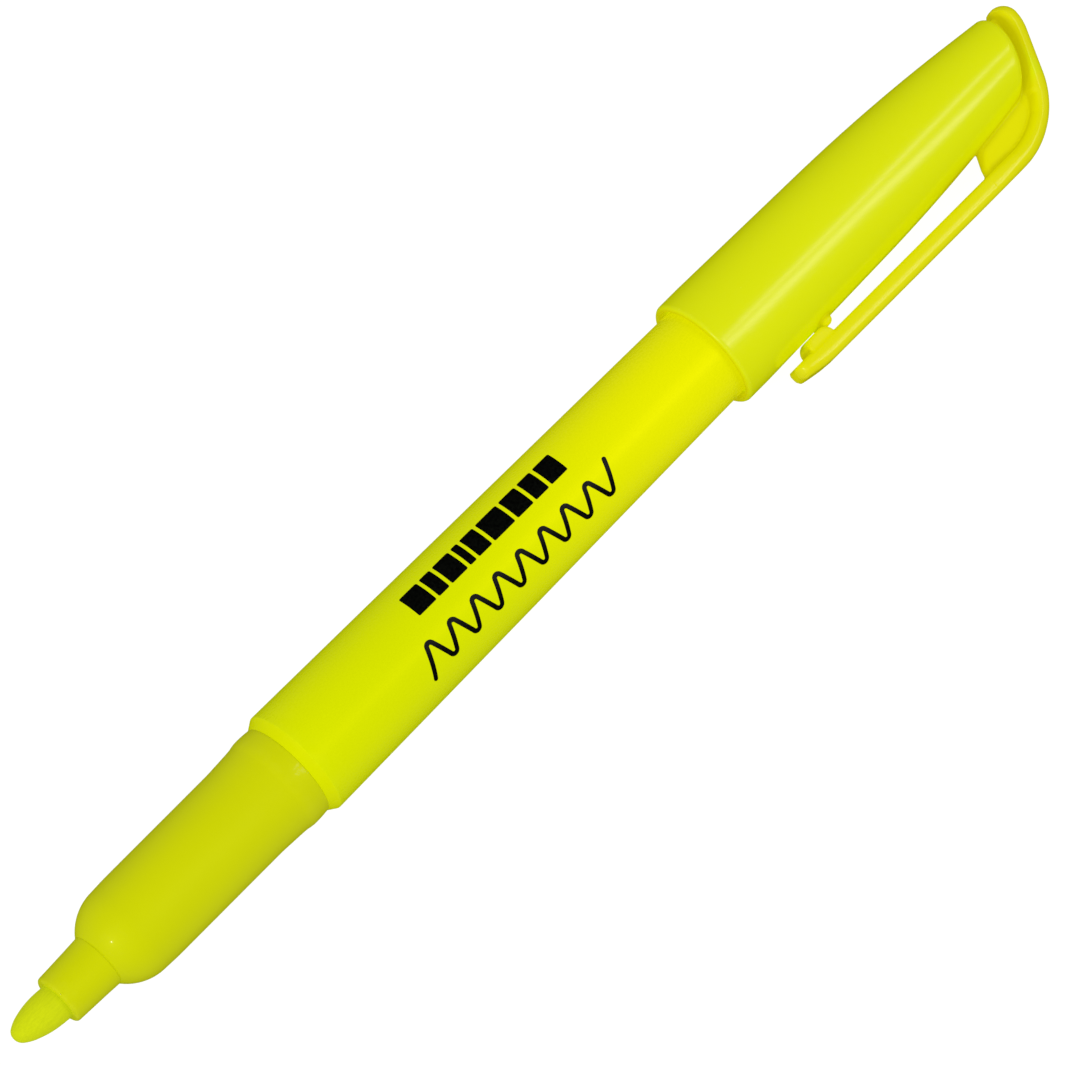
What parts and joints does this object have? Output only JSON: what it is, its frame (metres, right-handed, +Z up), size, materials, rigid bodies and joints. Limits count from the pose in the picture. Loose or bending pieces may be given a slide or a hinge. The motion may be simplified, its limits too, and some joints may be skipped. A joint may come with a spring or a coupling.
{
  "type": "highlighter pen",
  "caption": "Capped stick highlighter with a fibre nib, an ink-filled fibre core and a push-on cap with a sprung pocket clip, cap posted on the rear.",
  "frame": {"origin": "on the surface the pen lies on, under the middle of the pen's bounding box", "axes": "+X along the pen from the nib to the capped end, +Z up, -Y towards the side where the clip hangs"},
  "size_m": [0.1496, 0.0158, 0.0131],
  "materials": {
    "barrel_plastic": "glossy fluorescent yellow polypropylene",
    "plug_plastic": "glossy yellow polypropylene",
    "grip_plastic": "satin yellow-green polypropylene",
    "nib_felt": "ink-soaked bonded polyester fibre",
    "ink_fibre": "ink-soaked fibre bundle",
    "wrap_film": "clear film",
    "tube_plastic": "natural polypropylene",
    "cap_plastic": "glossy fluorescent yellow polypropylene",
    "liner_plastic": "natural polyethylene",
    "print_ink": "black pad-printed ink"
  },
  "bodies": {
    "body": {"barrel": "barrel_plastic", "rear_plug": "plug_plastic", "front_section": "grip_plastic", "nib": "nib_felt", "ink_reservoir": "ink_fibre", "reservoir_sleeve": "wrap_film", "breather_tube": "tube_plastic"},
    "inner_cap": {"inner_cap": "liner_plastic"},
    "cap": {"cap": "cap_plastic"},
    "clip": {"clip": "cap_plastic"}
  },
  "joints": [
    {"name": "cap_slide", "type": "slide", "parent": "body", "child": "inner_cap", "axis": [1, 0, 0], "range_m": [0, 0.03]},
    {"name": "cap_spin", "type": "hinge", "parent": "inner_cap", "child": "cap", "pos_m": [0.02487, 0.00141, 0.00653], "axis": [-1, 0, 0], "continuous": true},
    {"name": "clip_flex", "type": "hinge", "parent": "cap", "child": "clip", "pos_m": [0.05917, -0.00621, 0.00231], "axis": [0, -0.4848, 0.8746], "range_deg": [0, 7], "stiffness_Nm_per_rad": 0.6}
  ]
}
